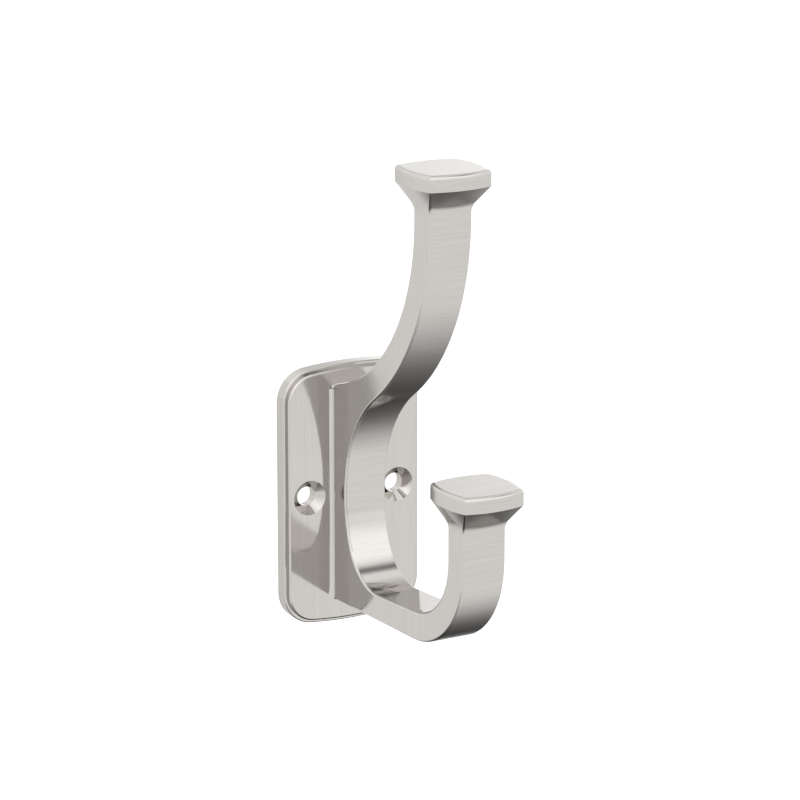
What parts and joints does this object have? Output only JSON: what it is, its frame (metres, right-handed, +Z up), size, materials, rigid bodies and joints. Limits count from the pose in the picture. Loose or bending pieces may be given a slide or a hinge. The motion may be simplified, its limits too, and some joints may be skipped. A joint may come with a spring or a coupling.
{
  "type": "double robe hook",
  "caption": "Wall hook with a long upper prong and a deep lower hook, square flared heads and a screwed plate.",
  "frame": {"origin": "on the wall plane, midway between the two screw holes; the middle of the plate's back is 0.3 mm lower", "axes": "+Z up, -Y out from the wall towards the room, +Y into the wall, +X to the right for someone facing the wall"},
  "size_m": [0.0382, 0.0733, 0.123],
  "materials": {
    "satin_nickel": "brushed satin nickel plate on a die-cast body, soft reflections with fine straight lines"
  },
  "bodies": {
    "root": {"double_hook": "satin_nickel"}
  },
  "joints": []
}
